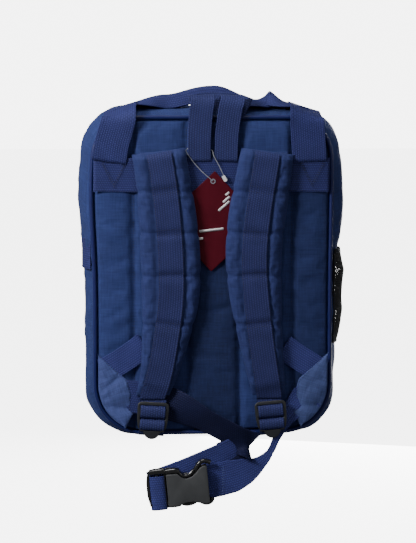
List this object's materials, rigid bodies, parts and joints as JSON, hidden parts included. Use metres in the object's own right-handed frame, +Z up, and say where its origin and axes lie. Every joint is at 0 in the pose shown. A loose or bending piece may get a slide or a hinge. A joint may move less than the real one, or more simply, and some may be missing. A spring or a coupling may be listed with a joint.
{
  "type": "trauma backpack",
  "caption": "Clamshell medical backpack with padded shoulder straps, webbing haul handle, side mesh pocket, zipped lid with front pocket, and a waist belt with side-release buckle.",
  "frame": {"origin": "inside top of the centre hanging loop, where a hook would bear", "axes": "+Z up, -Y towards the wearer's back (padded side), +Y towards the lid, +X to the right seen from the wearer's side"},
  "size_m": [0.3866, 0.233, 0.618],
  "materials": {
    "pack_fabric": "woven polyester, matte",
    "strap_fabric": "woven polyester, matte",
    "wide_webbing": "ribbed polypropylene webbing, slight sheen",
    "narrow_webbing": "ribbed polypropylene webbing, slight sheen",
    "piping": "vinyl-covered cord, glossy",
    "mesh": "open knitted mesh, black",
    "binding": "woven elastic binding, black",
    "lining": "coated nylon lining",
    "board": "polyethylene sheet",
    "zip_tape": "woven zip tape with coil",
    "zip_metal": "black enamel",
    "lock_plastic": "acetal, satin",
    "buckle_plastic": "acetal, fine texture",
    "prong_plastic": "acetal, glossy",
    "tag_card": "coated card",
    "tag_cord": "thin cotton cord",
    "tag_bead": "moulded plastic"
  },
  "bodies": {
    "root": {"rear_shell": "pack_fabric", "back_pad": "pack_fabric", "rear_piping": "piping", "frame_sheet": "board", "organiser_panel": "lining", "elastic_loops": "binding", "shelf_dividers": "lining", "base_board": "board", "zip_rear": "zip_tape", "hinge_gusset": "pack_fabric", "side_webbing": "wide_webbing", "mesh_pocket": "mesh", "mesh_pocket_hem": "binding", "shoulder_band": "wide_webbing", "handle_legs": "wide_webbing", "hang_loop": "narrow_webbing", "strap_anchors": "strap_fabric", "adjuster_left": "narrow_webbing", "adjuster_right": "narrow_webbing", "wing_left": "pack_fabric", "wing_right": "pack_fabric", "belt_left_upper": "wide_webbing", "belt_left_bend": "wide_webbing", "belt_right_upper": "wide_webbing", "tag_string": "tag_cord", "tag_bead": "tag_bead"},
    "lid": {"zip_lid": "zip_tape", "lid_shell": "pack_fabric", "front_piping": "piping", "lid_inner_pocket": "mesh", "pocket_zip": "zip_tape"},
    "front_pocket": {"front_pocket": "pack_fabric"},
    "pocket_slider": {"pocket_slider": "zip_metal"},
    "pocket_pull": {"pocket_pull": "zip_metal"},
    "slider_left": {"slider_left": "zip_metal"},
    "slider_right": {"slider_right": "zip_metal"},
    "pull_left": {"pull_left": "zip_metal"},
    "pull_right": {"pull_right": "zip_metal"},
    "carry_handle": {"carry_handle": "wide_webbing"},
    "strap_left": {"strap_left": "strap_fabric", "strap_webbing_left": "narrow_webbing", "adjuster_riser_left": "narrow_webbing"},
    "strap_right": {"strap_right": "strap_fabric", "strap_webbing_right": "narrow_webbing", "adjuster_riser_right": "narrow_webbing"},
    "lock_left": {"ladder_lock_left": "lock_plastic", "strap_end_loop_left": "narrow_webbing", "adjuster_tail_left": "narrow_webbing"},
    "lock_right": {"ladder_lock_right": "lock_plastic", "strap_end_loop_right": "narrow_webbing", "adjuster_tail_right": "narrow_webbing"},
    "belt": {"belt_left_lower": "wide_webbing", "belt_right_lower": "wide_webbing", "buckle_female": "buckle_plastic"},
    "buckle_male": {"buckle_male": "buckle_plastic", "belt_left_end": "wide_webbing"},
    "prong_upper": {"buckle_prong_upper": "prong_plastic"},
    "prong_lower": {"buckle_prong_lower": "prong_plastic"},
    "tag": {"swing_tag": "tag_card"}
  },
  "joints": [
    {"name": "lid_hinge", "type": "hinge", "parent": "root", "child": "lid", "pos_m": [0, 0.075, -0.484], "axis": [-1, 0, 0], "range_deg": [0, 100]},
    {"name": "pocket_hinge", "type": "hinge", "parent": "lid", "child": "front_pocket", "pos_m": [0, 0.154, -0.454], "axis": [-1, 0, 0], "range_deg": [0, 60]},
    {"name": "pocket_slider_travel", "type": "slide", "parent": "lid", "child": "pocket_slider", "axis": [1, 0, 0], "range_m": [0, 0.16]},
    {"name": "pocket_pull_lift", "type": "hinge", "parent": "pocket_slider", "child": "pocket_pull", "pos_m": [-0.08, 0.155, -0.1782], "axis": [0, -1, 0], "range_deg": [0, 100]},
    {"name": "slider_left_travel", "type": "slide", "parent": "root", "child": "slider_left", "axis": [-1, 0, 0], "range_m": [0, 0.11]},
    {"name": "slider_right_travel", "type": "slide", "parent": "root", "child": "slider_right", "axis": [1, 0, 0], "range_m": [0, 0.11]},
    {"name": "pull_left_lift", "type": "hinge", "parent": "slider_left", "child": "pull_left", "pos_m": [-0.009, 0.075, 0.0058], "axis": [0, 1, 0], "range_deg": [0, 100]},
    {"name": "pull_right_lift", "type": "hinge", "parent": "slider_right", "child": "pull_right", "pos_m": [0.009, 0.075, 0.0058], "axis": [0, -1, 0], "range_deg": [0, 100]},
    {"name": "handle_lift", "type": "hinge", "parent": "root", "child": "carry_handle", "pos_m": [0, -0.008, -0.012], "axis": [1, 0, 0], "range_deg": [0, 70]},
    {"name": "strap_left_swing", "type": "hinge", "parent": "root", "child": "strap_left", "pos_m": [-0.08, -0.0144, -0.066], "axis": [-1, 0, 0], "range_deg": [0, 40]},
    {"name": "strap_right_swing", "type": "hinge", "parent": "root", "child": "strap_right", "pos_m": [0.08, -0.0144, -0.066], "axis": [-1, 0, 0], "range_deg": [0, 40]},
    {"name": "lock_left_tilt", "type": "hinge", "parent": "strap_left", "child": "lock_left", "pos_m": [-0.092, -0.022, -0.429], "axis": [-1, 0, 0], "range_deg": [0, 50]},
    {"name": "lock_right_tilt", "type": "hinge", "parent": "strap_right", "child": "lock_right", "pos_m": [0.087, -0.022, -0.429], "axis": [-1, 0, 0], "range_deg": [0, 50]},
    {"name": "belt_swing", "type": "hinge", "parent": "root", "child": "belt", "pos_m": [0, -0.03, -0.492], "axis": [-1, 0, 0], "range_deg": [-20, 60]},
    {"name": "buckle_release", "type": "slide", "parent": "belt", "child": "buckle_male", "axis": [-0.9956, 0, -0.0941], "range_m": [0, 0.05]},
    {"name": "prong_upper_squeeze", "type": "hinge", "parent": "buckle_male", "child": "prong_upper", "pos_m": [-0.06906, -0.031, -0.54143], "axis": [0, 1, 0], "range_deg": [0, 7], "stiffness_Nm_per_rad": 0.4},
    {"name": "prong_lower_squeeze", "type": "hinge", "parent": "buckle_male", "child": "prong_lower", "pos_m": [-0.06595, -0.031, -0.57429], "axis": [0, 1, 0], "range_deg": [-7, 0], "stiffness_Nm_per_rad": 0.4},
    {"name": "tag_swing", "type": "hinge", "parent": "root", "child": "tag", "pos_m": [-0.0005, -0.0129, -0.11], "axis": [0, 1, 0], "range_deg": [-20, 20]}
  ],
  "couplings": [
    {"joint": "prong_lower_squeeze", "follows": "prong_upper_squeeze", "ratio": -1}
  ]
}
